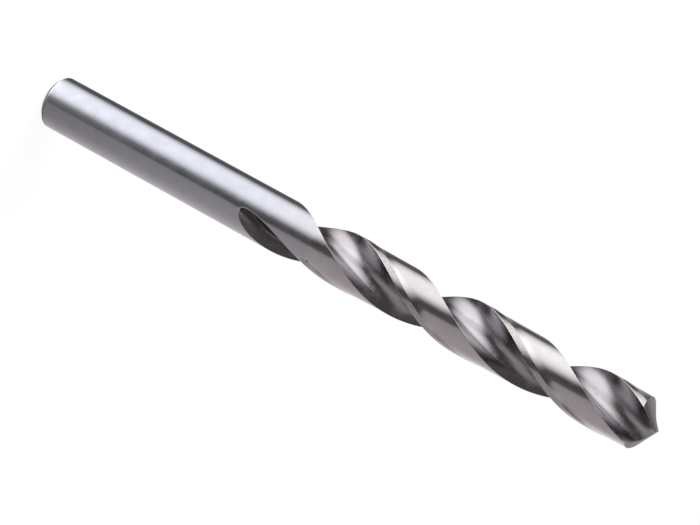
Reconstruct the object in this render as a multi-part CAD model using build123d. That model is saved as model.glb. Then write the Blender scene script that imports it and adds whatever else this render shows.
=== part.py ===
from build123d import *
import math
import os

# Twist drill with a straight shank, ground from one round bar.
# Frame: origin at the centre of the flat shank end, +Z along the axis to the point.
# Every section of the fluted length is drawn about the axis and turned with its height,
# and section angles are measured from the +X side, along which the first cutting lip lies.

# ---- driving dimensions: millimetres and degrees ----
DRILL_DIAMETER = 10.2
SHANK_DIAMETER = 10.15
OVERALL_LENGTH = 133.0
FLUTE_LENGTH = 86.0
SHANK_CHAMFER = 0.8

POINT_ANGLE = 118.0
HELIX_ANGLE = 31.0

WEB_AT_POINT = 1.64
WEB_GROWTH = 0.013
FLUTE_ARC = 96.3
FLUTE_BOTTOM_RADIUS = 2.35
FLUTE_EXIT_RADIUS = 56.5
FLUTE_EXIT_DIRECTION = 96.0

MARGIN_WIDTH = 1.36
CLEARANCE_DEPTH = 0.28
CLEARANCE_SETBACK = 15.1
CLEARANCE_ENTRY = 0.9

# The flanks are parts of two cones, each with its apex a little past the axis from its lip.
FLANK_CONE_ANGLE = 117.4
FLANK_APEX_OFFSET = 1.46
FLANK_RELIEF_TILT = 8.5

# ---- construction settings ----
CUTTER_OVERSIZE = 1.6
SECTION_STEP = 4.2
RAKE_POINTS = 5
NODE_FOLDER = "parts"

# ---- sizes worked out from the driving dimensions ----
radius = DRILL_DIAMETER / 2
shank_radius = SHANK_DIAMETER / 2
clearance_radius = radius - CLEARANCE_DEPTH
cutter_radius = radius + CUTTER_OVERSIZE
flute_start = OVERALL_LENGTH - FLUTE_LENGTH
clearance_start = flute_start + CLEARANCE_SETBACK
half_point = math.radians(POINT_ANGLE / 2)
half_web_at_point = WEB_AT_POINT / 2
lead = math.pi * DRILL_DIAMETER / math.tan(math.radians(HELIX_ANGLE))
land_arc = 180.0 - FLUTE_ARC
margin_arc = math.degrees(MARGIN_WIDTH / radius)
lip_corner_angle = math.degrees(math.asin(half_web_at_point / radius))
lip_corner_height = OVERALL_LENGTH - math.sqrt(radius**2 - half_web_at_point**2) / math.tan(half_point)


def polar(distance, degrees):
    """Point of a section at a distance from the axis and an angle from +X."""
    angle = math.radians(degrees)
    return Vector(distance * math.cos(angle), distance * math.sin(angle))


def turn_at(height):
    """Degrees by which the right-hand helix has turned a section, from the lip corners."""
    return 360.0 * (height - lip_corner_height) / lead


def seam_midway(first_angle, second_angle):
    """Angle for the seam of a turned face, well away from two pairs of opposite edges."""
    apart = (second_angle - first_angle + 90) % 180 - 90
    return first_angle + apart / 2 + 90


def half_web(height):
    """Half of the web, which thickens from the point towards the shank."""
    return (WEB_AT_POINT + WEB_GROWTH * (OVERALL_LENGTH - height)) / 2


def rake_angle(distance, web):
    """Angle of the cutting face that makes a straight lip, level with the lip corner."""
    climb = math.sqrt(radius**2 - web**2) - math.sqrt(distance**2 - web**2)
    lag = 360.0 * climb / math.tan(half_point) / lead
    return math.degrees(math.asin(web / distance)) - lag


def bottom_centre(height):
    """Centre of the round bottom of the flute in the section at this height."""
    web = half_web(height)
    shift = lip_corner_angle - rake_angle(radius, web)
    return polar(web + FLUTE_BOTTOM_RADIUS, rake_angle(web, web) + shift)


def full_lift():
    """How far the flute moves outwards before its round bottom is clear of the bar."""
    centre = bottom_centre(flute_start)
    along = centre.dot(polar(1, FLUTE_EXIT_DIRECTION))
    reach = shank_radius + FLUTE_BOTTOM_RADIUS
    return math.sqrt(along**2 - centre.length**2 + reach**2) - along


def exit_lift(height):
    """How far the flute has risen out of the bar, along the arc that ends it."""
    arc_length = math.sqrt(2 * FLUTE_EXIT_RADIUS * full_lift())
    run = max(0.0, flute_start + arc_length - height)
    return run**2 / (2 * FLUTE_EXIT_RADIUS)


def flute_section(height):
    """Face that one flute takes out of the bar at this height."""
    web = half_web(height)
    shift = lip_corner_angle - rake_angle(radius, web)
    reach = math.sqrt(cutter_radius**2 - web**2)
    runs = [reach * (1 - step / (RAKE_POINTS - 1)) for step in range(RAKE_POINTS)]
    distances = [math.hypot(run, web) for run in runs]
    rake_points = [polar(distance, rake_angle(distance, web) + shift) for distance in distances]
    core_angle = rake_angle(web, web) + shift
    core_tangent = polar(1, core_angle + 90)
    rake_face = Spline(*rake_points, tangents=[rake_points[0] * -1, core_tangent])

    heel = polar(clearance_radius, lip_corner_angle + FLUTE_ARC)
    centre = bottom_centre(height)
    to_heel = heel - centre
    heel_direction = math.degrees(math.atan2(to_heel.Y, to_heel.X))
    opening = math.degrees(math.acos(FLUTE_BOTTOM_RADIUS / to_heel.length))
    arc_end_angle = heel_direction + opening
    bottom_middle_angle = (core_angle + 180 + arc_end_angle) / 2
    arc_middle = centre + polar(FLUTE_BOTTOM_RADIUS, bottom_middle_angle)
    arc_end = centre + polar(FLUTE_BOTTOM_RADIUS, arc_end_angle)
    bottom = ThreePointArc(rake_points[-1], arc_middle, arc_end)
    heel_side_length = to_heel.length * math.sin(math.radians(opening)) + CUTTER_OVERSIZE
    heel_end = arc_end + polar(heel_side_length, arc_end_angle - 90)
    heel_side = Line(arc_end, heel_end)

    outer_middle = polar(cutter_radius, lip_corner_angle + FLUTE_ARC / 2)
    outside = ThreePointArc(heel_end, outer_middle, rake_points[0])
    section = make_face([rake_face, bottom, heel_side, outside])
    lift = polar(exit_lift(height), FLUTE_EXIT_DIRECTION)
    return Pos(0, 0, height) * Rot(0, 0, turn_at(height)) * Pos(lift.X, lift.Y) * section


def flute_cutter():
    """Solid that one flute takes away, from its run-out on the shank to past the point."""
    first = flute_start - SECTION_STEP / 2
    last = OVERALL_LENGTH + CUTTER_OVERSIZE
    count = math.ceil((last - first) / SECTION_STEP)
    heights = [first + (last - first) * index / count for index in range(count + 1)]
    return loft([flute_section(height) for height in heights])


def margin_section(height):
    """Block of the section at this height that keeps one margin from being cleared."""
    inner_radius = clearance_radius - CUTTER_OVERSIZE
    outer_radius = cutter_radius + CUTTER_OVERSIZE
    front = lip_corner_angle + margin_arc
    back = lip_corner_angle - margin_arc
    corners = [
        polar(inner_radius, front),
        polar(outer_radius, front),
        polar(outer_radius, back),
        polar(inner_radius, back),
    ]
    outline = Polyline(*corners, close=True)
    return Pos(0, 0, height) * Rot(0, 0, turn_at(height)) * make_face(outline)


def land_clearance():
    """Two solids that clear the two lands: a ring, parted where the margins run through it."""
    top = OVERALL_LENGTH + CUTTER_OVERSIZE
    slope = CLEARANCE_ENTRY / CLEARANCE_DEPTH
    outline = Polyline(
        (clearance_radius, 0, clearance_start + CLEARANCE_ENTRY),
        (cutter_radius, 0, clearance_start - slope * CUTTER_OVERSIZE),
        (cutter_radius, 0, top),
        (clearance_radius, 0, top),
        close=True,
    )
    first = clearance_start - 2 * slope * CUTTER_OVERSIZE
    seam = seam_midway(turn_at(first), turn_at(top)) + lip_corner_angle
    ring = Rot(0, 0, seam) * revolve(make_face(outline), Axis.Z)
    count = math.ceil((top + CUTTER_OVERSIZE - first) / SECTION_STEP)
    heights = [first + SECTION_STEP * index for index in range(count + 1)]
    margin = loft([margin_section(height) for height in heights])
    parted = ring - margin - Rot(0, 0, 180) * margin
    return parted.solids()


def flank_cone():
    """Cone whose side is the flank behind the lip on +X, and which holds the whole bar."""
    lip = Vector(math.sin(half_point), 0, -math.cos(half_point))
    slope = 1 / math.tan(half_point)
    outward = Vector(slope, -math.tan(math.radians(FLANK_RELIEF_TILT)), 1).normalized()
    half_cone = math.radians(FLANK_CONE_ANGLE / 2)
    axis = lip * math.cos(half_cone) - outward * math.sin(half_cone)
    rise = FLANK_APEX_OFFSET * slope
    apex = Vector(-FLANK_APEX_OFFSET, half_web_at_point, OVERALL_LENGTH + rise)
    height = 2 * OVERALL_LENGTH
    base = Plane(origin=apex + axis * height, z_dir=axis * -1)
    base_radius = height * math.tan(half_cone)
    return base * Cone(base_radius, 0, height, align=(Align.CENTER, Align.CENTER, Align.MIN))


def bar():
    """Turned bar: chamfered end, plain shank, then a body that tapers back from the point."""
    outline = Polyline(
        (0, 0, 0),
        (shank_radius - SHANK_CHAMFER, 0, 0),
        (shank_radius, 0, SHANK_CHAMFER),
        (shank_radius, 0, flute_start),
        (radius, 0, OVERALL_LENGTH),
        (0, 0, OVERALL_LENGTH),
        close=True,
    )
    flute_exit = turn_at(flute_start) + FLUTE_EXIT_DIRECTION
    return Rot(0, 0, seam_midway(flute_exit, flute_exit)) * revolve(make_face(outline), Axis.Z)


def twist_drill():
    """The whole drill: the bar, fluted, pointed, and cleared behind its margins."""
    half_turn = Rot(0, 0, 180)
    flute = flute_cutter()
    drill = bar() - flute - half_turn * flute
    cone = flank_cone()
    drill = drill & cone & (half_turn * cone)
    for cleared in land_clearance():
        drill = drill - cleared
    return drill


os.makedirs(NODE_FOLDER, exist_ok=True)
export_step(twist_drill(), os.path.join(NODE_FOLDER, "twist_drill.step"))
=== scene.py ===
"""Dresses a straight-shank twist drill: its fluted bar, its ground finishes, and a light tent.

Sizes are written in millimetres and degrees, and turned to metres where they are used. Only
the floor, the lamp and the camera's clip ends are written in metres.
The drill stands on its shank end at the origin, with its point up along +Z.
"""

import logging
import math
from dataclasses import dataclass, field
from enum import Enum

import bmesh
import bpy
import numpy as np
from mathutils import Matrix, Vector
from mathutils.geometry import delaunay_2d_cdt

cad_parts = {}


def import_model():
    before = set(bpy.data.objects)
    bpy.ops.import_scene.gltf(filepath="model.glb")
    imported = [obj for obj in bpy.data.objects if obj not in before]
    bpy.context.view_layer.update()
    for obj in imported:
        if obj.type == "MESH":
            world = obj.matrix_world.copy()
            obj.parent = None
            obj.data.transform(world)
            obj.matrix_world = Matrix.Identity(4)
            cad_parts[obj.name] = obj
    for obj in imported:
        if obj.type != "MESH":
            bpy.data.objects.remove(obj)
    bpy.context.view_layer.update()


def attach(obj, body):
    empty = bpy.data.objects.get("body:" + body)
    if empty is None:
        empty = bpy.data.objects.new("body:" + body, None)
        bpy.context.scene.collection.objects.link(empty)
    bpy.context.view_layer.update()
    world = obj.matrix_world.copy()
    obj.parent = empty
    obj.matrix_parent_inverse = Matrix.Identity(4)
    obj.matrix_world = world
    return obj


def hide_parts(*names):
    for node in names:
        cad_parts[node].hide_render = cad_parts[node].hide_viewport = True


Tree = bpy.types.NodeTree
Socket = bpy.types.NodeSocket
Pair = tuple[float, float]

LOG = logging.getLogger("twist_drill")
MM = 0.001
NODE = "twist_drill"
# Points closer than this are one point.
SAME_PLACE = 1e-7
FULL_TURN = 360.0
BLEND = {"data_type": "RGBA"}
MULTIPLY = {"data_type": "RGBA", "blend_type": "MULTIPLY"}
EASED = {"interpolation_type": "SMOOTHSTEP"}


class Finish(Enum):
    """The ground finishes that the drill carries, and the number that marks each on a face."""

    SHANK = 0
    LAND = 1
    MARGIN = 2
    FLUTE = 3
    FLANK = 4
    EDGE = 5


def linear(hex_colour: str) -> tuple[float, float, float, float]:
    """Turns an sRGB colour into the linear one that a shader takes.

    Args:
        hex_colour: six hex digits, such as "A0A1A4".

    Returns:
        Red, green, blue and an alpha of 1.
    """
    shares = [int(hex_colour[i : i + 2], 16) / 255 for i in (0, 2, 4)]
    values = [s / 12.92 if s <= 0.04045 else ((s + 0.055) / 1.055) ** 2.4 for s in shares]
    return (*values, 1.0)


def add_node(
    tree: Tree, kind: str, settings: dict[str, object], inputs: dict[str | int, object]
) -> bpy.types.Node:
    """Adds one node with its settings, and fills or links its inputs.

    Args:
        tree: the node tree that gets the node.
        kind: the node's type name.
        settings: properties of the node by name.
        inputs: by socket name or number, a plain value or an output socket to link.

    Returns:
        The new node.
    """
    node = tree.nodes.new(kind)
    for name, value in settings.items():
        setattr(node, name, value)
    for name, value in inputs.items():
        if isinstance(value, Socket):
            tree.links.new(value, node.inputs[name])
        else:
            node.inputs[name].default_value = value
    return node


def smooth(share: np.ndarray) -> np.ndarray:
    """Eases a share from 0 to 1, flat at both ends."""
    held = np.clip(share, 0.0, 1.0)
    return held * held * (3.0 - 2.0 * held)


def polar(distance: float, degrees: float) -> np.ndarray:
    """Point of a section at a distance from the axis and an angle from +X."""
    angle = math.radians(degrees)
    return np.array([distance * math.cos(angle), distance * math.sin(angle)])


def turned(points: np.ndarray, degrees: np.ndarray) -> np.ndarray:
    """Turns points of a section about the axis.

    Args:
        points: rows of x and y.
        degrees: one angle, or one for each row.

    Returns:
        The turned rows.
    """
    angle = np.radians(degrees)
    x, y, c, s = points[:, 0], points[:, 1], np.cos(angle), np.sin(angle)
    return np.stack([x * c - y * s, x * s + y * c], 1)


@dataclass
class DrillForm:
    """The drill's shape: its sections along the axis, and the cones that point it.

    The shank and body radii and the point keep 0.005 to 0.01 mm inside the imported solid. Arcs
    and columns on a land are degrees behind its margin, and a share runs from 0 to 1.
    """

    diameter: float = 10.2
    shank_radius: float = 5.07
    body_radius: float = 5.09
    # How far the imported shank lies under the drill's radius, which sets the flute's run-out.
    shank_relief: float = 0.025
    length: float = 133.0
    flute_start: float = 47.0
    point_angle: float = 118.0
    helix_angle: float = 31.0
    web_at_point: float = 1.64
    web_growth: float = 0.013
    flute_arc: float = 96.3
    flute_bottom_radius: float = 2.35
    exit_radius: float = 56.5
    exit_direction: float = 96.0
    margin_width: float = 1.36
    clearance_depth: float = 0.28
    clearance_start: float = 62.2
    clearance_entry: float = 0.9
    # The cleared part sets in later beside the margin, along a rounded corner.
    clearance_corner: float = 0.7
    corner_arc: float = 6.0
    entry_arc: float = 14.0
    entry_beside_margin: float = 0.4
    entry_growth: float = 5.0
    # Behind the margin the land falls off over one arc, then eases down over the rest.
    clearance_fall: float = 16.0
    fall_at_entry: float = 0.16
    fall_run_in: float = 7.0
    fall_share: float = 0.56
    rest_arc: float = 60.0
    # The heel's radius is read this many degrees behind the leading edge.
    heel_probe: float = 80.0
    point_set_back: float = 0.01
    cone_angle: float = 117.4
    apex_offset: float = 1.46
    relief_tilt: float = 8.5
    # Edges are rounded by this much, but by no more than this share of a narrow flute.
    edge_round: float = 0.09
    edge_share: float = 0.2
    # A flute's line is drawn past the bar on both sides before it is cut to it.
    overshoot: float = 1.6
    rake_samples: int = 160
    bottom_samples: int = 90
    side_samples: int = 60
    # Columns of the mesh round one half of a section.
    margin_columns: int = 8
    step_columns: tuple[float, ...] = (0.3, 0.8, 1.5, 2.5)
    land_from: float = 3.8
    land_columns: int = 30
    corner_columns: int = 5
    flute_columns: int = 66
    even_spacing: float = 0.6
    lead: float = field(init=False)
    lip_height: float = field(init=False)
    lip_angle: float = field(init=False)

    def __post_init__(self) -> None:
        """Works out the lead and where the lips' outer corners are."""
        radius, web = self.diameter / 2, self.web_at_point / 2
        self.lead = math.pi * self.diameter / math.tan(math.radians(self.helix_angle))
        self.lip_angle = math.degrees(math.asin(web / radius))
        reach = math.sqrt(radius**2 - web**2)
        self.lip_height = self.length - reach / math.tan(math.radians(self.point_angle / 2))

    def turn(self, height: np.ndarray) -> np.ndarray:
        """Degrees by which the helix has turned a section; the shank isn't turned further."""
        return FULL_TURN * (np.maximum(height, self.flute_start) - self.lip_height) / self.lead

    def half_web(self, height: float) -> float:
        """Half of the web at a height."""
        return (self.web_at_point + self.web_growth * (self.length - height)) / 2

    def outside_radius(self, height: float) -> float:
        """Radius of the shank, or of the body that widens a little towards the point."""
        share = max(0.0, (height - self.flute_start) / (self.length - self.flute_start))
        return self.shank_radius + (self.body_radius - self.shank_radius) * share

    def rake_angles(self, distances: np.ndarray, web: float) -> np.ndarray:
        """Angles of the cutting face that makes a straight lip.

        Args:
            distances: distances from the axis.
            web: half of the web at that height.

        Returns:
            One angle in degrees for each distance, level with the lip's outer corner.
        """
        radius = self.diameter / 2
        climb = math.sqrt(radius**2 - web**2) - np.sqrt(np.maximum(distances**2 - web**2, 0.0))
        lag = FULL_TURN * climb / math.tan(math.radians(self.point_angle / 2)) / self.lead
        shift = self.lip_angle - math.degrees(math.asin(web / radius))
        return np.degrees(np.arcsin(np.minimum(web / distances, 1.0))) - lag + shift

    def bottom_centre(self, height: float) -> np.ndarray:
        """Centre of the flute's round bottom in a section, before it lifts out.

        Args:
            height: height of the section.

        Returns:
            Its x and y.
        """
        web = self.half_web(height)
        core = float(self.rake_angles(np.array([web]), web)[0])
        return polar(web + self.flute_bottom_radius, core)

    def exit_lift(self, height: float) -> np.ndarray:
        """How far, and which way, the flute has risen out of the bar at a height.

        Args:
            height: height of the section.

        Returns:
            The move in x and y.
        """
        centre, way = self.bottom_centre(self.flute_start), polar(1.0, self.exit_direction)
        along = float(centre @ way)
        reach = self.diameter / 2 - self.shank_relief + self.flute_bottom_radius
        full = math.sqrt(along**2 - float(centre @ centre) + reach**2) - along
        run = max(0.0, self.flute_start + math.sqrt(2 * self.exit_radius * full) - height)
        return way * run**2 / (2 * self.exit_radius)

    def flute_profile(self, height: float) -> np.ndarray:
        """Line of one flute in a section, from beyond its heel to beyond its cutting face.

        Args:
            height: height of the section.

        Returns:
            Rows of x and y, close together.
        """
        web, beyond = self.half_web(height), self.diameter / 2 + self.overshoot
        distances = web + (beyond - web) * np.linspace(0.0, 1.0, self.rake_samples) ** 2
        angles = np.radians(self.rake_angles(distances, web))
        rake = distances[:, None] * np.stack([np.cos(angles), np.sin(angles)], 1)
        centre = self.bottom_centre(height)
        core = math.degrees(math.atan2(centre[1], centre[0]))
        heel = polar(self.diameter / 2 - self.clearance_depth, self.lip_angle + self.flute_arc)
        to_heel = heel - centre
        reach = float(np.hypot(*to_heel))
        opening = math.degrees(math.acos(self.flute_bottom_radius / reach))
        arc_end = math.degrees(math.atan2(to_heel[1], to_heel[0])) + opening
        sweep = np.linspace(arc_end, core + 180.0, self.bottom_samples)[:-1]
        bottom = np.array([centre + polar(self.flute_bottom_radius, a) for a in sweep])
        side_length = reach * math.sin(math.radians(opening)) + self.overshoot
        ends = np.linspace(side_length, 0.0, self.side_samples)[:-1]
        side = np.array([bottom[0] + polar(d, arc_end - 90.0) for d in ends])
        return np.concatenate([side, bottom, rake]) + self.exit_lift(height)

    def land_radius(self, behind: np.ndarray, height: float) -> np.ndarray:
        """Radius of a land behind its leading edge: the margin, then the cleared part.

        Args:
            behind: degrees behind the leading edge.
            height: height of the section.

        Returns:
            One radius for each angle.
        """
        past = behind - math.degrees(self.margin_width / (self.diameter / 2))
        above = height - self.clearance_start
        corner = self.clearance_corner * np.clip(1 - past / self.corner_arc, 0, 1) ** 2
        growth = self.entry_growth * smooth(past / self.entry_arc)
        entry = self.clearance_entry * (self.entry_beside_margin + growth)
        entered = smooth((above - corner) / entry)
        run_in = smooth(above / self.fall_run_in)
        ground_in = self.fall_at_entry + (1 - self.fall_at_entry) * run_in
        fall = np.clip(past / (self.clearance_fall * ground_in), 0.0, 1.0)
        rest = np.clip(past / self.rest_arc, 0.0, 1.0)
        cleared = self.fall_share * (1.0 - (1.0 - fall) ** 2) + (1 - self.fall_share) * rest
        return self.outside_radius(height) - self.clearance_depth * entered * cleared

    def flute_cut(self, height: float) -> tuple[np.ndarray, float, float]:
        """The part of a flute's line that lies inside the bar.

        Args:
            height: height of the section.

        Returns:
            Its points from heel to leading edge, and the angles of those two ends.
        """
        profile = self.flute_profile(height)
        outside = self.outside_radius(height)
        heel_radius = float(self.land_radius(np.array([self.heel_probe]), height)[0])
        distance = np.hypot(profile[:, 0], profile[:, 1])
        limit = np.where(np.arange(len(profile)) < len(profile) // 2, heel_radius, outside)
        inside = np.flatnonzero(distance < limit)
        if len(inside) < 2:
            nearest = profile[int(np.argmin(distance))]
            angle = math.degrees(math.atan2(nearest[1], nearest[0]))
            return np.repeat(polar(outside, angle)[None], 2, 0), angle, angle
        ends = []
        for last, first in ((inside[0] - 1, inside[0]), (inside[-1] + 1, inside[-1])):
            share = (limit[first] - distance[first]) / (distance[last] - distance[first])
            ends.append(profile[first] + (profile[last] - profile[first]) * share)
        line = np.concatenate([ends[:1], profile[inside], ends[1:]])
        angles = [math.degrees(math.atan2(p[1], p[0])) for p in ends]
        return line, angles[0], angles[1]

    def half_outline(self, height: float) -> np.ndarray:
        """One land and the flute behind it, as the columns of the mesh meet this section.

        Args:
            height: height of the section.

        Returns:
            Rows of x and y: the land from its leading edge, the heel, the flute, the next
            edge and the first point of the other land.
        """
        line, heel, lead = self.flute_cut(height)
        steps = np.hypot(*np.diff(line, axis=0).T)
        run = np.concatenate([[0.0], np.cumsum(steps)])
        outside = self.outside_radius(height)
        land_arc = (lead - heel + 180.0) if run[-1] > 0 else 180.0
        size = min(self.edge_round, run[-1] * self.edge_share)
        edge = math.degrees(size / outside)
        margin = math.degrees(self.margin_width / (self.diameter / 2))
        near = np.linspace(edge, margin, self.margin_columns)
        step = margin + np.array(self.step_columns)
        far = np.linspace(margin + self.land_from, land_arc - edge, self.land_columns)
        behind = np.concatenate([near, step, far])
        radii = self.land_radius(behind, height)
        angles = np.radians(lead - behind)
        land = radii[:, None] * np.stack([np.cos(angles), np.sin(angles)], 1)
        at = size + (run[-1] - 2 * size) * self.flute_shares()
        flute = -np.stack([np.interp(at, run, line[:, 0]), np.interp(at, run, line[:, 1])], 1)
        next_land = -land[:1]
        heel_corner = self.rounded(land[-1], -line[0], flute[0])
        lead_corner = self.rounded(flute[-1], -line[-1], next_land[0])
        return np.concatenate([land, heel_corner, flute, lead_corner, next_land])

    def flute_shares(self) -> np.ndarray:
        """Where the flute's columns lie across it, closer at both edges.

        Returns:
            One share for each column, from 0 at the heel to 1 at the leading edge.
        """
        share = np.linspace(0.0, 1.0, self.flute_columns)
        eased = (1 - np.cos(np.pi * share)) / 2
        return self.even_spacing * share + (1 - self.even_spacing) * eased

    def first_flute_column(self) -> int:
        """Number of the columns that lie on the land and its heel corner, before the flute."""
        on_land = self.margin_columns + len(self.step_columns) + self.land_columns
        return on_land + self.corner_columns

    def shares_across(self) -> np.ndarray:
        """The flute shares of all the columns of one half, held at 0 and 1 on the lands."""
        before, after = np.zeros(self.first_flute_column()), np.ones(self.corner_columns + 1)
        return np.concatenate([before, self.flute_shares(), after])

    def rounded(self, before: np.ndarray, corner: np.ndarray, after: np.ndarray) -> np.ndarray:
        """Points that round one corner of a section between two of its points."""
        t = (np.arange(self.corner_columns) + 1)[:, None] / (self.corner_columns + 1)
        return (1 - t) ** 2 * before + 2 * t * (1 - t) * corner + t**2 * after

    def column_finishes(self) -> list[Finish]:
        """The finish of each strip of faces round one half of the fluted body.

        Returns:
            One finish for each strip, in the order of the columns.
        """
        corner = [Finish.EDGE] * (self.corner_columns + 1)
        margin = [Finish.MARGIN] * (self.margin_columns - 1)
        land = [Finish.LAND] * (self.land_columns + len(self.step_columns))
        return margin + land + corner + [Finish.FLUTE] * (self.flute_columns - 1) + corner

    def flank(self, points: np.ndarray) -> np.ndarray:
        """Height of the flank behind the lip on +X, over points of the plan.

        Args:
            points: rows of x and y.

        Returns:
            One height for each row.
        """
        half = math.radians(self.point_angle / 2)
        slope, cone = 1 / math.tan(half), math.radians(self.cone_angle / 2)
        lip = np.array([math.sin(half), 0.0, -math.cos(half)])
        outward = np.array([slope, -math.tan(math.radians(self.relief_tilt)), 1.0])
        axis = lip * math.cos(cone) - outward / np.linalg.norm(outward) * math.sin(cone)
        x = points[:, 0] + self.apex_offset
        y = points[:, 1] - self.web_at_point / 2
        cos2, along = math.cos(cone) ** 2, axis[0] * x + axis[1] * y
        a = axis[2] ** 2 - cos2
        b = 2 * axis[2] * along
        c = along**2 - cos2 * (x * x + y * y)
        root = np.sqrt(np.maximum(b * b - 4 * a * c, 0.0))
        top = self.length - self.point_set_back + self.apex_offset * slope
        return top + (-b - root) / (2 * a)

    def point_surface(self, points: np.ndarray) -> np.ndarray:
        """Height of the finished point over points of the plan: the lower of both flanks."""
        return np.minimum(self.flank(points), self.flank(-points))


@dataclass
class HalfDrill:
    """Mesh of one half of the drill before its helix is twisted: land, flute, flank and end.

    The end rows are heights with their share of the outside radius: the flat end, then the
    chamfer with its two rounded corners. The run-out rows are heights past the flutes' start,
    close together where the flute's tip feathers out of the shank.
    """

    form: DrillForm
    end_face_shares: tuple[float, ...] = (0.0, 0.25, 0.5, 0.7, 0.8, 0.828)
    chamfer_rows: tuple[Pair, ...] = (
        (0.012, 0.838),
        (0.045, 0.849),
        (0.3, 0.9),
        (0.6, 0.959),
        (0.735, 0.985),
        (0.78, 0.9925),
        (0.83, 0.998),
        (0.9, 1.0),
    )
    shank_rows: tuple[float, ...] = (1.2, 4, 9, 15, 21, 27, 33, 38, 42, 45, 46.2, 46.8)
    run_out_rows: tuple[float, ...] = (
        *(0.0, 0.004, 0.015, 0.035, 0.065, 0.1, 0.145, 0.2, 0.27, 0.35, 0.44, 0.55, 0.67, 0.8),
        *(0.95, 1.12, 1.3, 1.5, 1.72, 1.96, 2.2, 2.5, 2.8, 3.15, 3.5, 3.9, 4.3, 4.75),
    )
    # Level rows run up to the join, closer where the clearance sets in. Over the join, rows
    # lean up to the point's surface, to which each column settles round by round.
    join_height: float = 127.0
    row_step: float = 0.62
    fine_step: float = 0.1
    fine_from: float = 0.4
    fine_to: float = 2.6
    top_rows: int = 16
    settling_rounds: int = 60
    chisel_columns: int = 15
    # The chisel edge is searched this far to each side of a straight line, by halving.
    chisel_bow: float = 0.4
    halvings: int = 40
    # Spacing of the points inside a flank, and the share of it that they keep off its outline.
    flank_step: float = 0.26
    flank_gap: float = 0.6
    vertices: list[tuple[float, float, float]] = field(default_factory=list)
    faces: list[tuple[int, ...]] = field(default_factory=list)
    finishes: list[int] = field(default_factory=list)
    grain: list[Pair] = field(default_factory=list)
    across: list[float] = field(default_factory=list)

    def rows(self) -> list[Pair]:
        """Heights of the mesh's rows up to the join, each with its share of the radius.

        Returns:
            Pairs of height and share of the outside radius.
        """
        end = [(0.0, share) for share in self.end_face_shares] + list(self.chamfer_rows)
        heights = [self.form.flute_start + past for past in self.run_out_rows]
        start = self.form.clearance_start
        while heights[-1] < self.join_height - self.row_step:
            fine = start - self.fine_from < heights[-1] < start + self.fine_to
            heights.append(heights[-1] + (self.fine_step if fine else self.row_step))
        return end + [(height, 1.0) for height in (*self.shank_rows, *heights)]

    def column_tops(self) -> tuple[np.ndarray, np.ndarray, np.ndarray]:
        """Where each column of the mesh meets the point's surface.

        Returns:
            Section points at the join, how they move for each millimetre of height, and heights.
        """
        low = self.form.half_outline(self.join_height)
        drift = (self.form.half_outline(self.form.length) - low) / (
            self.form.length - self.join_height
        )
        heights = np.full(len(low), self.form.lip_height)
        for _ in range(self.settling_rounds):
            here = low + drift * (heights - self.join_height)[:, None]
            heights = self.form.point_surface(turned(here, self.form.turn(heights)))
        return low, drift, heights

    def add_row(self, points: np.ndarray, heights: np.ndarray) -> None:
        """Adds one row of vertices, and its faces down to the row before.

        Args:
            points: rows of x and y in millimetres.
            heights: one height for each.
        """
        base = len(self.vertices)
        self.vertices += [(x * MM, y * MM, z * MM) for (x, y), z in zip(points, heights)]
        around = np.concatenate([[0.0], np.cumsum(np.hypot(*np.diff(points, axis=0).T))])
        self.grain += [(u, z) for u, z in zip(around, heights)]
        self.across += list(self.form.shares_across())
        if base == 0:
            return
        width = len(points)
        for column, kind in enumerate(self.form.column_finishes()):
            low = base - width + column
            self.faces.append((low, base + column, base + column + 1, low + 1))
            middle = float(heights[column])
            if middle <= self.form.flute_start:
                kind = Finish.SHANK
            elif middle < self.form.clearance_start and kind in (Finish.MARGIN, Finish.LAND):
                kind = Finish.SHANK
            self.finishes.append(kind.value)

    def add_flank(self, low: np.ndarray, drift: np.ndarray, heights: np.ndarray) -> None:
        """Adds the flank behind one lip, from its lip and land to the chisel edge.

        Args:
            low: section points of the columns at the join.
            drift: how they move for each millimetre of height.
            heights: heights of the columns' tops.
        """
        form = self.form
        plan = low + drift * (heights - self.join_height)[:, None]
        tops = turned(plan, form.turn(heights))
        difference = form.flank(tops) - form.flank(-tops)
        first = form.first_flute_column()
        crossing = first + int(np.flatnonzero(difference[first:] > 0)[0])
        edge = np.concatenate([-tops[crossing:-1], tops[: crossing + 1]])
        edge_heights = np.concatenate([heights[crossing:-1], heights[: crossing + 1]])
        chisel = self.chisel_edge(tops[crossing])
        outline = np.concatenate([edge, chisel])
        outline_heights = np.concatenate([edge_heights, form.point_surface(chisel)])
        inner = self.inner_points(outline)
        plan_points = [Vector(p) for p in np.concatenate([outline, inner])]
        loop = [(i, (i + 1) % len(outline)) for i in range(len(outline))]
        made = delaunay_2d_cdt(plan_points, loop, [], 1, SAME_PLACE)
        base = len(self.vertices)
        for point, sources in zip(made[0], made[3]):
            place = np.array([[point.x, point.y]])
            known = [s for s in sources if s < len(outline)]
            height = float(outline_heights[known[0]] if known else form.flank(place)[0])
            x, y = turned(place, np.array([-form.turn(height)]))[0]
            self.vertices.append((x * MM, y * MM, height * MM))
            self.grain.append((point.x, point.y))
            self.across.append(0.0)
        for face in made[2]:
            self.faces.append(tuple(base + i for i in face))
            self.finishes.append(Finish.FLANK.value)

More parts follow.
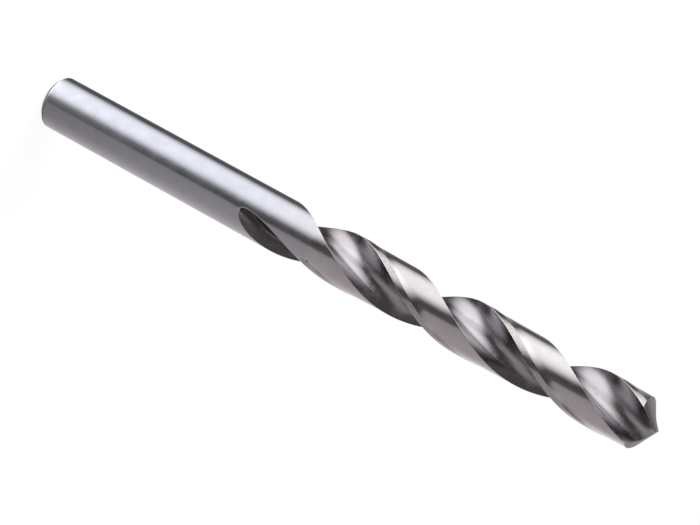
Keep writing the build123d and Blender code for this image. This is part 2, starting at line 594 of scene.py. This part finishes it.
    def chisel_edge(self, end: np.ndarray) -> np.ndarray:
        """Points of the chisel edge, where both flanks are level, between its two ends.

        Args:
            end: the end that the walk starts from.

        Returns:
            Rows of x and y, without the two ends.
        """
        side = np.array([-end[1], end[0]]) / np.hypot(*end)
        points = []
        for share in np.linspace(1.0, -1.0, self.chisel_columns)[1:-1]:
            low, high = -self.chisel_bow, self.chisel_bow
            for _ in range(self.halvings):
                middle = (low + high) / 2
                place = (end * share + side * middle)[None]
                rising = self.form.flank(place)[0] > self.form.flank(-place)[0]
                low, high = (middle, high) if rising else (low, middle)
            points.append(end * share + side * (low + high) / 2)
        return np.array(points)

    def inner_points(self, outline: np.ndarray) -> np.ndarray:
        """A close pattern of points inside an outline, clear of its line.

        Args:
            outline: rows of x and y, closed.

        Returns:
            Rows of x and y.
        """
        step, reach = self.flank_step, self.form.body_radius
        marks = np.arange(-reach, reach, step)
        grid = np.array([(x + (i % 2) * step / 2, y) for i, y in enumerate(marks) for x in marks])
        after = np.roll(outline, -1, axis=0)
        inside = np.zeros(len(grid), bool)
        nearest = np.full(len(grid), np.inf)
        for (ax, ay), (bx, by) in zip(outline, after):
            spans = (ay > grid[:, 1]) != (by > grid[:, 1])
            cut = ax + (grid[:, 1] - ay) * (bx - ax) / (by - ay or SAME_PLACE)
            inside ^= spans & (grid[:, 0] < cut)
            nearest = np.minimum(nearest, np.hypot(grid[:, 0] - ax, grid[:, 1] - ay))
        return grid[inside & (nearest > step * self.flank_gap)]

    def mesh(self) -> bpy.types.Mesh:
        """Builds the half and returns it as a mesh with its finish and its grain on it.

        Returns:
            The mesh, in metres.
        """
        for height, share in self.rows():
            points = self.form.half_outline(height) * share
            self.add_row(points, np.full(len(points), height))
        low, drift, tops = self.column_tops()
        for share in np.linspace(0.0, 1.0, self.top_rows + 1)[1:]:
            heights = self.join_height + (tops - self.join_height) * share
            self.add_row(low + drift * (heights - self.join_height)[:, None], heights)
        self.add_flank(low, drift, tops)
        mesh = bpy.data.meshes.new("half_drill")
        mesh.from_pydata(self.vertices, [], self.faces)
        mesh.attributes.new("finish", "INT", "FACE").data.foreach_set("value", self.finishes)
        mesh.attributes.new("across", "FLOAT", "POINT").data.foreach_set("value", self.across)
        layer = mesh.uv_layers.new(name="Grain")
        for loop in mesh.loops:
            layer.data[loop.index].uv = self.grain[loop.vertex_index]
        return mesh


@dataclass
class HelixTwist:
    """Geometry Nodes rule that makes the whole drill: halves round the axis, then the twist."""

    form: DrillForm
    starts: int = 2
    join_distance: float = 0.002
    sharp_angle: float = 32.0

    def declare(self, tree: bpy.types.GeometryNodeTree) -> None:
        """Gives the rule named inputs for its sizes and materials, and its output.

        Args:
            tree: the new node tree.
        """
        inputs = {"Half": "Geometry", "Starts": "Int", "Lead": "Float", "Flute start": "Float"}
        inputs.update({"Lip height": "Float", "Join distance": "Float"})
        inputs.update({kind.name.title() + " finish": "Material" for kind in Finish})
        for name, kind in inputs.items():
            tree.interface.new_socket(name=name, in_out="INPUT", socket_type="NodeSocket" + kind)
        result = "NodeSocketGeometry"
        tree.interface.new_socket(name="Drill", in_out="OUTPUT", socket_type=result)

    def joined(self, tree: Tree, given: bpy.types.NodeOutputs) -> Socket:
        """Sets the halves round the axis and joins them.

        Args:
            tree: the node tree.
            given: the rule's inputs.

        Returns:
            The untwisted drill.
        """
        angle = add_node(tree, "GeometryNodeInputIndex", {}, {}).outputs[0]
        for step, value in (("DIVIDE", given["Starts"]), ("MULTIPLY", math.tau)):
            taking = {0: angle, 1: value}
            angle = add_node(tree, "ShaderNodeMath", {"operation": step}, taking).outputs[0]
        spin = add_node(tree, "ShaderNodeCombineXYZ", {}, {2: angle}).outputs[0]
        points = add_node(tree, "GeometryNodePoints", {}, {"Count": given["Starts"]}).outputs[0]
        places = {"Points": points, "Instance": given["Half"], "Rotation": spin}
        copies = add_node(tree, "GeometryNodeInstanceOnPoints", {}, places).outputs[0]
        real = add_node(tree, "GeometryNodeRealizeInstances", {}, {"Geometry": copies}).outputs[0]
        joining = {"Geometry": real, "Distance": given["Join distance"]}
        return add_node(tree, "GeometryNodeMergeByDistance", {}, joining).outputs[0]

    def twisted(self, tree: Tree, given: bpy.types.NodeOutputs) -> Socket:
        """Works out where the helix takes each point; the plain shank turns as one.

        Args:
            tree: the node tree.
            given: the rule's inputs.

        Returns:
            The place of each point after the twist.
        """
        place = add_node(tree, "GeometryNodeInputPosition", {}, {}).outputs[0]
        angle = add_node(tree, "ShaderNodeSeparateXYZ", {}, {0: place}).outputs[2]
        steps = {
            "MAXIMUM": given["Flute start"],
            "SUBTRACT": given["Lip height"],
            "DIVIDE": given["Lead"],
            "MULTIPLY": math.tau,
        }
        for step, value in steps.items():
            taking = {0: angle, 1: value}
            angle = add_node(tree, "ShaderNodeMath", {"operation": step}, taking).outputs[0]
        turn, moving = {"rotation_type": "Z_AXIS"}, {"Vector": place, "Angle": angle}
        return add_node(tree, "ShaderNodeVectorRotate", turn, moving).outputs[0]

    def tree(self) -> bpy.types.GeometryNodeTree:
        """Builds the rule: join the halves, twist them, then dress each kind of face.

        Returns:
            The node tree.
        """
        tree = bpy.data.node_groups.new("helix_of_equal_starts", "GeometryNodeTree")
        self.declare(tree)
        given = add_node(tree, "NodeGroupInput", {}, {}).outputs
        shape = {"Geometry": self.joined(tree, given), "Position": self.twisted(tree, given)}
        flow = add_node(tree, "GeometryNodeSetPosition", {}, shape).outputs[0]
        whole, named = {"data_type": "INT"}, {"Name": "finish"}
        marked = add_node(tree, "GeometryNodeInputNamedAttribute", whole, named).outputs[0]
        equal = {"data_type": "INT", "operation": "EQUAL"}
        for kind in Finish:
            wanted = {2: marked, 3: kind.value}
            dress = {
                "Geometry": flow,
                "Selection": add_node(tree, "FunctionNodeCompare", equal, wanted).outputs[0],
                "Material": given[kind.name.title() + " finish"],
            }
            flow = add_node(tree, "GeometryNodeSetMaterial", {}, dress).outputs[0]
        add_node(tree, "NodeGroupOutput", {}, {0: flow})
        return tree

    def apply(
        self, half: bpy.types.Mesh, finishes: dict[Finish, bpy.types.Material]
    ) -> bpy.types.Object:
        """Runs the rule on the half and bakes it into one plain object.

        Args:
            half: the half drill before the twist.
            finishes: the material of each finish.

        Returns:
            The finished object, at the origin.
        """
        piece = bpy.data.objects.new("fluted_bar", half)
        bpy.context.scene.collection.objects.link(piece)
        modifier = piece.modifiers.new("helix", "NODES")
        modifier.node_group = self.tree()
        values = {
            "Starts": self.starts,
            "Lead": self.form.lead * MM,
            "Flute start": self.form.flute_start * MM,
            "Lip height": self.form.lip_height * MM,
            "Join distance": self.join_distance * MM,
        }
        values.update({k.name.title() + " finish": m for k, m in finishes.items()})
        for item in modifier.node_group.interface.items_tree:
            if item.in_out == "INPUT" and item.name in values:
                modifier[item.identifier] = values[item.name]
        graph = bpy.context.evaluated_depsgraph_get()
        baked = bpy.data.meshes.new_from_object(
            piece.evaluated_get(graph), preserve_all_data_layers=True, depsgraph=graph
        )
        piece.modifiers.clear()
        piece.data = baked
        while baked.materials and baked.materials[0] is None:
            baked.materials.pop(index=0)
        self.settle(baked)
        return piece

    def settle(self, mesh: bpy.types.Mesh) -> None:
        """Turns the faces outwards, closes doubles and marks the edges that stay sharp.

        Args:
            mesh: the baked mesh, changed in place.
        """
        shape = bmesh.new()
        shape.from_mesh(mesh)
        bmesh.ops.remove_doubles(shape, verts=shape.verts, dist=self.join_distance * MM)
        bmesh.ops.dissolve_degenerate(shape, edges=shape.edges, dist=SAME_PLACE)
        bmesh.ops.recalc_face_normals(shape, faces=shape.faces)
        for face in shape.faces:
            face.smooth = True
        for edge in shape.edges:
            if len(edge.link_faces) == 2:
                edge.smooth = edge.calc_face_angle() < math.radians(self.sharp_angle)
        open_edges = sum(len(edge.link_faces) != 2 for edge in shape.edges)
        LOG.info("fluted bar: %d faces, %d open edges", len(shape.faces), open_edges)
        shape.to_mesh(mesh)
        shape.free()


@dataclass(frozen=True)
class GroundSteel:
    """High-speed steel finished by grinding: a metal with fine wheel lines and a soft sheen.

    The lines give the eye the faint hair of a ground surface, and the slow mottle keeps the
    highlights from looking painted. Real lines are some 0.02 mm apart, so they are drawn
    coarser here to show at all. The colour turns to the warm one from the shank to the
    flutes, the shade is laid over it where the mottle is low, and mottle is how far the
    roughness strays. Sizes are in millimetres.
    """

    name: str
    colour: str
    warm: str
    shade: str
    roughness: float
    mottle: float
    mottle_size: float
    line_spacing: float
    line_depth: float
    warm_span: Pair = (46.0, 86.0)
    line_stretch: tuple[float, float, float] = (0.02, 0.02, 1.0)
    line_detail: Pair = (3.0, 0.6)
    mottle_detail: Pair = (4.0, 0.55)
    mottle_range: Pair = (0.3, 0.7)

    def line_place(self, tree: Tree, place: Socket) -> Socket:
        """Where each point lies in the pattern of lines: here round the bar, as it is turned."""
        return place

    def tint(self, tree: Tree, height: Socket, mottle: Socket) -> Socket:
        """Adds the metal's colour.

        Args:
            tree: the material's node tree.
            height: each point's height in millimetres.
            mottle: the slow mottle.

        Returns:
            The colour.
        """
        rise = {"Value": height, "From Min": self.warm_span[0], "From Max": self.warm_span[1]}
        warmth = add_node(tree, "ShaderNodeMapRange", {}, rise).outputs[0]
        mixing = {0: warmth, 6: linear(self.colour), 7: linear(self.warm)}
        heated = add_node(tree, "ShaderNodeMix", BLEND, mixing).outputs[2]
        mixing = {0: mottle, 6: linear(self.shade), 7: linear("FFFFFF")}
        dulled = add_node(tree, "ShaderNodeMix", BLEND, mixing).outputs[2]
        mixing = {0: 1.0, 6: heated, 7: dulled}
        return add_node(tree, "ShaderNodeMix", MULTIPLY, mixing).outputs[2]

    def material(self) -> bpy.types.Material:
        """Builds the node-based material.

        Returns:
            The material.
        """
        material = bpy.data.materials.new(self.name)
        material.use_nodes = True
        tree = material.node_tree
        shader = tree.nodes["Principled BSDF"]
        shader.inputs["Metallic"].default_value = 1.0
        place = add_node(tree, "ShaderNodeTexCoord", {}, {}).outputs["Object"]
        scaling = {0: place, "Scale": 1 / MM}
        scaled = add_node(tree, "ShaderNodeVectorMath", {"operation": "SCALE"}, scaling).outputs[0]
        height = add_node(tree, "ShaderNodeSeparateXYZ", {}, {0: scaled}).outputs[2]
        speckled = {"Vector": scaled, "Scale": 1 / self.mottle_size}
        speckled["Detail"], speckled["Roughness"] = self.mottle_detail
        mottle = add_node(tree, "ShaderNodeTexNoise", {}, speckled).outputs[0]
        tree.links.new(self.tint(tree, height, mottle), shader.inputs["Base Color"])
        straying = {"Value": mottle}
        straying["From Min"], straying["From Max"] = self.mottle_range
        straying["To Min"] = self.roughness - self.mottle
        straying["To Max"] = self.roughness + self.mottle
        rough = add_node(tree, "ShaderNodeMapRange", {}, straying).outputs[0]
        tree.links.new(rough, shader.inputs["Roughness"])
        drawing = {"Vector": self.line_place(tree, scaled), "Scale": self.line_stretch}
        drawn = add_node(tree, "ShaderNodeMapping", {}, drawing).outputs[0]
        ruled = {"Vector": drawn, "Scale": 1 / self.line_spacing}
        ruled["Detail"], ruled["Roughness"] = self.line_detail
        lines = add_node(tree, "ShaderNodeTexNoise", {}, ruled).outputs[0]
        relief = {"Height": lines, "Strength": 1.0, "Distance": self.line_depth * MM}
        bump = add_node(tree, "ShaderNodeBump", {}, relief).outputs[0]
        tree.links.new(bump, shader.inputs["Normal"])
        return material


@dataclass(frozen=True)
class FluteSteel(GroundSteel):
    """The same steel in the flutes, where the wheel's lines follow the helix.

    The cutting side and the deep start of the flute carry painted shade: their colour is darkened
    to stand in for the dark that a flute holds where its own walls are mirrored in it, and in the
    pocket where it starts. Spans across are shares from the heel at 0 to the leading edge at 1,
    and the run-out's span is in heights.
    """

    line_stretch: tuple[float, float, float] = (1.0, 0.03, 1.0)
    # Painted shade: a darker colour over the cutting side and over the deep run-out where the flute
    # starts, with the spans where each lies.
    painted_cutting_side_shade: str = "CDCBCC"
    painted_cutting_side_span: Pair = (0.5, 0.72)
    painted_run_out_shade: str = "8A8688"
    painted_run_out_across: Pair = (0.36, 0.62)
    painted_run_out_heights: Pair = (60.0, 54.0)

    def line_place(self, tree: Tree, place: Socket) -> Socket:
        """Where each point lies in the pattern of lines: on the grain map, along the flute."""
        return add_node(tree, "ShaderNodeUVMap", {"uv_map": "Grain"}, {}).outputs[0]

    def tint(self, tree: Tree, height: Socket, mottle: Socket) -> Socket:
        """Adds the metal's colour, with its two painted shades over it.

        Args:
            tree: the material's node tree.
            height: each point's height in millimetres.
            mottle: the slow mottle.

        Returns:
            The colour.
        """
        tint = super().tint(tree, height, mottle)
        reading = {"attribute_name": "across"}
        across = add_node(tree, "ShaderNodeAttribute", reading, {}).outputs["Fac"]
        first, last = self.painted_cutting_side_span
        easing = {"Value": across, "From Min": first, "From Max": last}
        side = add_node(tree, "ShaderNodeMapRange", EASED, easing).outputs[0]
        first, last = self.painted_run_out_across
        easing = {"Value": across, "From Min": first, "From Max": last}
        painted_pocket_share = add_node(tree, "ShaderNodeMapRange", EASED, easing).outputs[0]
        first, last = self.painted_run_out_heights
        easing = {"Value": height, "From Min": first, "From Max": last, "To Max": painted_pocket_share}
        start = add_node(tree, "ShaderNodeMapRange", EASED, easing).outputs[0]
        # Painted shade: the colour is darkened on the cutting side and at the flute's deep start.
        for share, shade in ((side, self.painted_cutting_side_shade), (start, self.painted_run_out_shade)):
            mixing = {0: share, 6: tint, 7: linear(shade)}
            tint = add_node(tree, "ShaderNodeMix", MULTIPLY, mixing).outputs[2]
        return tint


@dataclass
class DrillFinishes:
    """The finishes of the drill, one for each kind of ground face.

    Each has its name, its colour, warm colour and shade, then its roughness, mottle, mottle
    size, line spacing and line depth.
    """

    # Centreless ground: a cool, even sheen in which the light lies in long straight bands.
    shank: GroundSteel = GroundSteel(
        "ground_shank", "E2E5F0", "E8E3E5", "E6E6E6", 0.21, 0.03, 2.6, 0.16, 0.001
    )
    # Cylindrically ground before fluting: the shank's sheen, but warmer.
    land: GroundSteel = GroundSteel(
        "ground_land", "E4E3EC", "E8E3E5", "E6E6E6", 0.19, 0.03, 1.6, 0.16, 0.001
    )
    # Ground last and rubbed in use: a pale ribbon with specks, drawn coarser than its grain.
    margin: GroundSteel = GroundSteel(
        "ground_margin", "E8E6E9", "F4F0F0", "A4A2A2", 0.2, 0.05, 0.4, 0.14, 0.002
    )
    # Ground by a formed wheel, then polished: dark and milky pools with a faint hair; the dark is
    # partly painted shade on the cutting side and at the run-out.
    flute: FluteSteel = FluteSteel(
        "polished_flute", "D8D4D7", "D8D5DA", "CAC8C9", 0.24, 0.06, 1.2, 0.2, 0.001
    )
    # Straight off the point-grinding wheel: a duller grey with deeper lines.
    flank: GroundSteel = GroundSteel(
        "wheel_ground_flank", "CCC9CB", "CCC9CB", "D6D6D6", 0.26, 0.05, 0.9, 0.2, 0.002
    )
    # Corners worn round by handling, in a brighter colour that is a painted highlight: thin bright
    # lines.
    edge: GroundSteel = GroundSteel(
        "worn_edge_painted_highlight", "F6F4F6", "F6F2F2", "EEEEEE", 0.3, 0.04, 0.6, 0.2, 0.001
    )

    def materials(self) -> dict[Finish, bpy.types.Material]:
        """Builds the material of each finish."""
        return {kind: getattr(self, kind.name.lower()).material() for kind in Finish}


@dataclass
class TwistDrill:
    """The whole drill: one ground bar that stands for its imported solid."""

    form: DrillForm = field(default_factory=DrillForm)
    finishes: DrillFinishes = field(default_factory=DrillFinishes)

    def build(self) -> bpy.types.Object:
        """Makes the fluted bar, dresses it and ties it to the frame.

        Returns:
            The finished object.
        """
        half = HalfDrill(self.form).mesh()
        piece = HelixTwist(self.form).apply(half, self.finishes.materials())
        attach(piece, "root")
        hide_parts(NODE)
        return piece


@dataclass(frozen=True)
class Window:
    """One bright window of the tent, in degrees; it fades out softly round its middle.

    Its azimuth shifts by lean degrees for each degree above its middle.
    """

    azimuth: float
    elevation: float
    half_width: float
    half_height: float
    lean: float
    level: float
    # It fades between these, where 1 is one half size away from the middle.
    fade: Pair = (0.1, 1.9)


@dataclass
class LightTent:
    """Soft studio light: rings of pale and grey panels round the drill, and a white ground.

    Azimuths run once round, from the tent's dark seam at 125 degrees to 485. Each panel of a
    ring is the azimuth where it begins and how bright it is there. The ceiling is elevations
    with their levels. The fades are elevations between which the low ring turns into the high
    one, and that into the ceiling.
    """

    seam: float = 125.0
    zenith: float = 90.0
    high_ring: tuple[Pair, ...] = (
        *((125.0, 0.38), (142.0, 0.44), (175.0, 0.58), (196.0, 0.66), (206.0, 0.8)),
        *((224.0, 0.4), (246.0, 0.16), (272.0, 0.06), (395.0, 0.05), (417.8, 0.02)),
        *((420.2, 0.27), (470.0, 0.31), (485.0, 0.38)),
    )
    low_ring: tuple[Pair, ...] = (
        *((125.0, 0.1), (165.0, 0.16), (200.0, 0.45), (228.0, 0.27), (268.0, 0.08)),
        *((300.0, 0.04), (417.0, 0.1), (485.0, 0.1)),
    )
    ceiling: tuple[Pair, ...] = ((0.0, 0.06), (14.0, 0.085), (48.0, 0.1), (64.0, 0.4), (90.0, 0.6))
    windows: tuple[Window, ...] = (
        Window(336.5, -33.0, 44.5, 34.0, -0.2, 1.12),
        Window(334.0, -51.5, 52.0, 15.5, 0.3, 1.25),
        Window(309.0, 3.0, 36.0, 20.0, -0.8, 0.42),
        Window(212.0, 6.0, 52.0, 28.0, 0.0, 0.33),
        Window(394.0, -54.0, 30.0, 24.0, 0.0, 0.27),
        Window(430.0, 4.0, 21.0, 16.0, -1.5, 0.3),
        Window(448.0, -18.0, 44.0, 9.0, 0.0, 0.08),
    )
    high_fade: Pair = (-16.0, -4.0)
    low_fade: Pair = (-36.0, -31.0)
    dark_tint: str = "FFF5F5"
    card_grey: str = "9A9A9A"
    card_glow: float = 0.9
    floor_size: float = 3.0
    floor_drop: float = 0.00002
    lamp_size: float = 0.9
    lamp_power: float = 3.0
    lamp_place: tuple[float, float, float] = (0.5, -0.5, 1.0)
    lamp_aim: tuple[float, float, float] = (0.0, 0.0, 0.06)

    def band(
        self, tree: Tree, angle: Socket, start: float, sweep: float, panels: tuple[Pair, ...]
    ) -> Socket:
        """Adds one band of panels, which fade into each other.

        Args:
            tree: the world's node tree.
            angle: how far along the band each direction lies.
            start: the angle where the band begins.
            sweep: how far it runs.
            panels: angles and levels.

        Returns:
            The band's colour.
        """
        parting = {0: angle, 1: sweep}
        share = add_node(tree, "ShaderNodeMath", {"operation": "DIVIDE"}, parting).outputs[0]
        node = add_node(tree, "ShaderNodeValToRGB", {}, {0: share})
        stops = node.color_ramp.elements
        while len(stops) < len(panels):
            stops.new(0.5)
        for stop, (place, level) in zip(stops, panels):
            stop.position = (place - start) / sweep
            stop.color = (level, level, level, 1.0)
        return node.outputs[0]

    def faded(
        self, tree: Tree, height: Socket, span: Pair, below: Socket, above: Socket
    ) -> Socket:
        """Adds a soft change from one light to another as the elevation rises.

        Args:
            tree: the world's node tree.
            height: degrees above the horizon.
            span: elevations where the change begins and ends.
            below: light below the span.
            above: light above it.

        Returns:
            The joined light.
        """
        ranged = {"Value": height, "From Min": span[0], "From Max": span[1]}
        share = add_node(tree, "ShaderNodeMapRange", EASED, ranged).outputs[0]
        return add_node(tree, "ShaderNodeMix", BLEND, {0: share, 6: below, 7: above}).outputs[2]

    def pane(self, tree: Tree, azimuth: Socket, height: Socket, window: Window) -> Socket:
        """Adds one soft-edged bright window to the tent.

        Args:
            tree: the world's node tree.
            azimuth: degrees from the seam.
            height: degrees above the horizon.
            window: where it is, its sizes and its level.

        Returns:
            Its brightness.
        """
        rising = {0: height, 1: window.elevation}
        up = add_node(tree, "ShaderNodeMath", {"operation": "SUBTRACT"}, rising).outputs[0]
        leaning = {0: up, 1: window.lean, 2: window.azimuth - self.seam}
        way = add_node(tree, "ShaderNodeMath", {"operation": "MULTIPLY_ADD"}, leaning).outputs[0]
        turning = {0: azimuth, 1: way}
        side = add_node(tree, "ShaderNodeMath", {"operation": "SUBTRACT"}, turning).outputs[0]
        parting = {0: side, 1: window.half_width}
        wide = add_node(tree, "ShaderNodeMath", {"operation": "DIVIDE"}, parting).outputs[0]
        for step, value in (("DIVIDE", window.half_height), ("POWER", 2.0)):
            up = add_node(tree, "ShaderNodeMath", {"operation": step}, {0: up, 1: value}).outputs[0]
        both = add_node(tree, "ShaderNodeCombineXYZ", {}, {0: wide, 1: up}).outputs[0]
        squares, dot = {0: both, 1: both}, {"operation": "DOT_PRODUCT"}
        out = add_node(tree, "ShaderNodeVectorMath", dot, squares).outputs["Value"]
        fading = {"Value": out, "To Min": window.level, "To Max": 0.0}
        fading["From Min"], fading["From Max"] = window.fade
        return add_node(tree, "ShaderNodeMapRange", EASED, fading).outputs[0]

    def world(self) -> None:
        """Builds the tent as the world: two rings of panels, a ceiling, and soft windows."""
        world = bpy.data.worlds.new("light_tent")
        bpy.context.scene.world = world
        world.use_nodes = True
        tree = world.node_tree
        tree.nodes.clear()
        way = add_node(tree, "ShaderNodeTexCoord", {}, {}).outputs["Generated"]
        turning = {"Vector": way, "Angle": math.radians(FULL_TURN / 2 - self.seam)}
        spun = add_node(tree, "ShaderNodeVectorRotate", {"rotation_type": "Z_AXIS"}, turning)
        axes = add_node(tree, "ShaderNodeSeparateXYZ", {}, {0: spun.outputs[0]}).outputs
        sides = {0: axes[1], 1: axes[0]}
        around = add_node(tree, "ShaderNodeMath", {"operation": "ARCTAN2"}, sides).outputs[0]
        turns = {0: around, 1: math.degrees(1.0), 2: FULL_TURN / 2}
        azimuth = add_node(tree, "ShaderNodeMath", {"operation": "MULTIPLY_ADD"}, turns).outputs[0]
        height = axes[2]
        for step in ("ARCSINE", "DEGREES"):
            height = add_node(tree, "ShaderNodeMath", {"operation": step}, {0: height}).outputs[0]
        low = self.band(tree, azimuth, self.seam, FULL_TURN, self.low_ring)
        high = self.band(tree, azimuth, self.seam, FULL_TURN, self.high_ring)
        ceiling = self.band(tree, height, 0.0, self.zenith, self.ceiling)
        rings = self.faded(tree, height, self.low_fade, low, high)
        dim = self.faded(tree, height, self.high_fade, rings, ceiling)
        toning = {0: 1.0, 6: dim, 7: linear(self.dark_tint)}
        light = add_node(tree, "ShaderNodeMix", MULTIPLY, toning).outputs[2]
        for window in self.windows:
            adding = {0: light, 1: self.pane(tree, azimuth, height, window)}
            light = add_node(tree, "ShaderNodeVectorMath", {"operation": "ADD"}, adding).outputs[0]
        mirrored = add_node(tree, "ShaderNodeBackground", {}, {"Color": light})
        ground = add_node(tree, "ShaderNodeBackground", {}, {"Color": linear("FFFFFF")})
        path = add_node(tree, "ShaderNodeLightPath", {}, {})
        seen = {0: path.outputs["Is Camera Ray"], 1: mirrored.outputs[0], 2: ground.outputs[0]}
        picked = add_node(tree, "ShaderNodeMixShader", {}, seen)
        add_node(tree, "ShaderNodeOutputWorld", {}, {0: picked.outputs[0]})

    def floor(self) -> bpy.types.Object:
        """Makes the white floor, which shows the drill's shadow but isn't mirrored in it.

        Returns:
            The floor.
        """
        half = self.floor_size / 2
        mesh = bpy.data.meshes.new("floor")
        corners = [(-half, -half, 0), (half, -half, 0), (half, half, 0), (-half, half, 0)]
        mesh.from_pydata(corners, [], [(0, 1, 2, 3)])
        floor = bpy.data.objects.new("floor", mesh)
        bpy.context.scene.collection.objects.link(floor)
        material = bpy.data.materials.new("white_card")
        material.use_nodes = True
        tree = material.node_tree
        tree.nodes.clear()
        path = add_node(tree, "ShaderNodeLightPath", {}, {})
        card = add_node(tree, "ShaderNodeBsdfDiffuse", {}, {"Color": linear(self.card_grey)})
        glowing = {"Color": linear("FFFFFF"), "Strength": self.card_glow}
        glow = add_node(tree, "ShaderNodeEmission", {}, glowing)
        both = add_node(tree, "ShaderNodeAddShader", {}, {0: card.outputs[0], 1: glow.outputs[0]})
        seen = {0: path.outputs["Is Camera Ray"], 1: card.outputs[0], 2: both.outputs[0]}
        picked = add_node(tree, "ShaderNodeMixShader", {}, seen)
        add_node(tree, "ShaderNodeOutputMaterial", {}, {0: picked.outputs[0]})
        mesh.materials.append(material)
        floor.visible_glossy = False
        floor.location.z = -self.floor_drop
        return floor

    def lamp(self) -> bpy.types.Object:
        """Hangs one wide soft lamp above and to the left of the camera.

        Returns:
            The lamp.
        """
        data = bpy.data.lights.new("wide_lamp", "AREA")
        data.shape, data.size, data.energy = "DISK", self.lamp_size, self.lamp_power
        lamp = bpy.data.objects.new("wide_lamp", data)
        bpy.context.scene.collection.objects.link(lamp)
        place = Vector(self.lamp_place)
        lamp.location = place
        way = Vector(self.lamp_aim) - place
        lamp.rotation_euler = way.to_track_quat("-Z", "Y").to_euler()
        return lamp


@dataclass
class StudioCamera:
    """The camera: a long lens that looks down the drill from its point's side."""

    azimuth: float = 37.9
    elevation: float = 24.43
    distance: float = 477.2
    aim_height: float = 68.62
    lens: float = 139.4
    sensor: float = 36.0
    clip: Pair = (0.02, 20.0)
    # Which way the drill's axis runs in the picture.
    axis_in_view: Pair = (0.8759, -0.4825)

    def build(self) -> bpy.types.Object:
        """Places the camera, rolled so that the drill lies slantwise in the picture.

        Returns:
            The camera.
        """
        around, up = math.radians(self.azimuth), math.radians(self.elevation)
        level = math.cos(up)
        back = Vector((level * math.cos(around), level * math.sin(around), math.sin(up)))
        along = (Vector((0, 0, 1)) - back * math.sin(up)).normalized()
        side = Vector((math.sin(around), -math.cos(around), 0))
        c, s = self.axis_in_view
        right = along * c - side * s
        upward = along * s + side * c
        turn = Matrix((right, upward, back)).transposed()
        data = bpy.data.cameras.new("camera")
        data.lens, data.sensor_width = self.lens, self.sensor
        data.clip_start, data.clip_end = self.clip
        camera = bpy.data.objects.new("camera", data)
        bpy.context.scene.collection.objects.link(camera)
        camera.rotation_mode = "QUATERNION"
        camera.rotation_quaternion = turn.to_quaternion()
        camera.location = (Vector((0, 0, self.aim_height)) + back * self.distance) * MM
        bpy.context.scene.camera = camera
        return camera


def main() -> None:
    """Builds the drill, its studio and its camera."""
    logging.basicConfig(level=logging.INFO, format="%(message)s")
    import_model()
    bpy.context.scene.view_settings.view_transform = "Standard"
    drill = TwistDrill().build()
    LOG.info("%s: %d polygons", drill.name, len(drill.data.polygons))
    tent = LightTent()
    tent.world()
    LOG.info("%s and %s stand ready", tent.floor().name, tent.lamp().name)
    LOG.info("%s is placed", StudioCamera().build().name)


if __name__ == "__main__":
    main()
